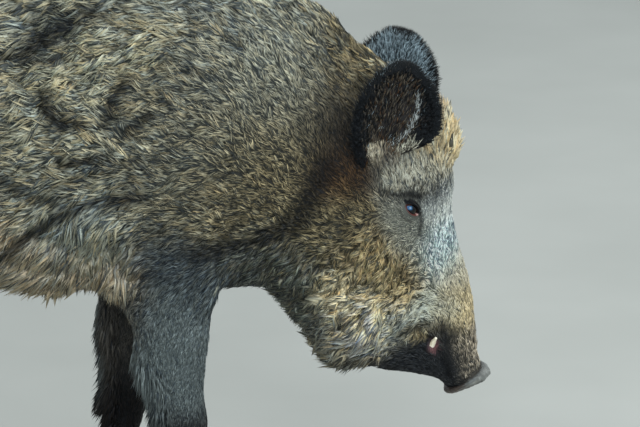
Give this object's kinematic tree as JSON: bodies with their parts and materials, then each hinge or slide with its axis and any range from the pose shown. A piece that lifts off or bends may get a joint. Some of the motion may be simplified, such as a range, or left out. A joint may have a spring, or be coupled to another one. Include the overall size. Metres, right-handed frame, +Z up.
{
  "type": "wild boar",
  "caption": "Adult wild boar in winter coat, standing with its head hung low, as a still life-size model.",
  "frame": {"origin": "on the floor, under the middle of the animal's box", "axes": "+X forward, from the tail to the head; +Y the animal's left; +Z up"},
  "size_m": [1.26, 0.375, 0.8845],
  "materials": {
    "coat": "coarse bristly winter fur, grizzled brown",
    "coat_head": "short to shaggy fur, grizzled buff and grey",
    "coat_leg": "short blackish fur",
    "snout_skin": "bare damp skin",
    "horn": "worn dark horn",
    "ivory": "smooth tusk",
    "eye": "wet dark eye"
  },
  "bodies": {
    "root": {"trunk": "coat", "neck": "coat", "head": "coat_head", "foreleg_upper_left": "coat_leg", "foreleg_upper_right": "coat_leg", "foreleg_lower_left": "coat_leg", "foreleg_lower_right": "coat_leg", "hindleg_upper_left": "coat_leg", "hindleg_upper_right": "coat_leg", "hindleg_lower_left": "coat_leg", "hindleg_lower_right": "coat_leg", "tail": "coat_leg", "ear_left": "coat_leg", "ear_right": "coat_leg", "snout": "snout_skin", "eye_left": "eye", "eye_right": "eye", "tusk_left": "ivory", "tusk_right": "ivory", "claw_fore_left_inner": "horn", "claw_fore_left_outer": "horn", "claw_fore_right_inner": "horn", "claw_fore_right_outer": "horn", "claw_hind_left_inner": "horn", "claw_hind_left_outer": "horn", "claw_hind_right_inner": "horn", "claw_hind_right_outer": "horn", "dewclaw_fore_left_inner": "horn", "dewclaw_fore_left_outer": "horn", "dewclaw_fore_right_inner": "horn", "dewclaw_fore_right_outer": "horn", "dewclaw_hind_left_inner": "horn", "dewclaw_hind_left_outer": "horn", "dewclaw_hind_right_inner": "horn", "dewclaw_hind_right_outer": "horn"}
  },
  "joints": []
}
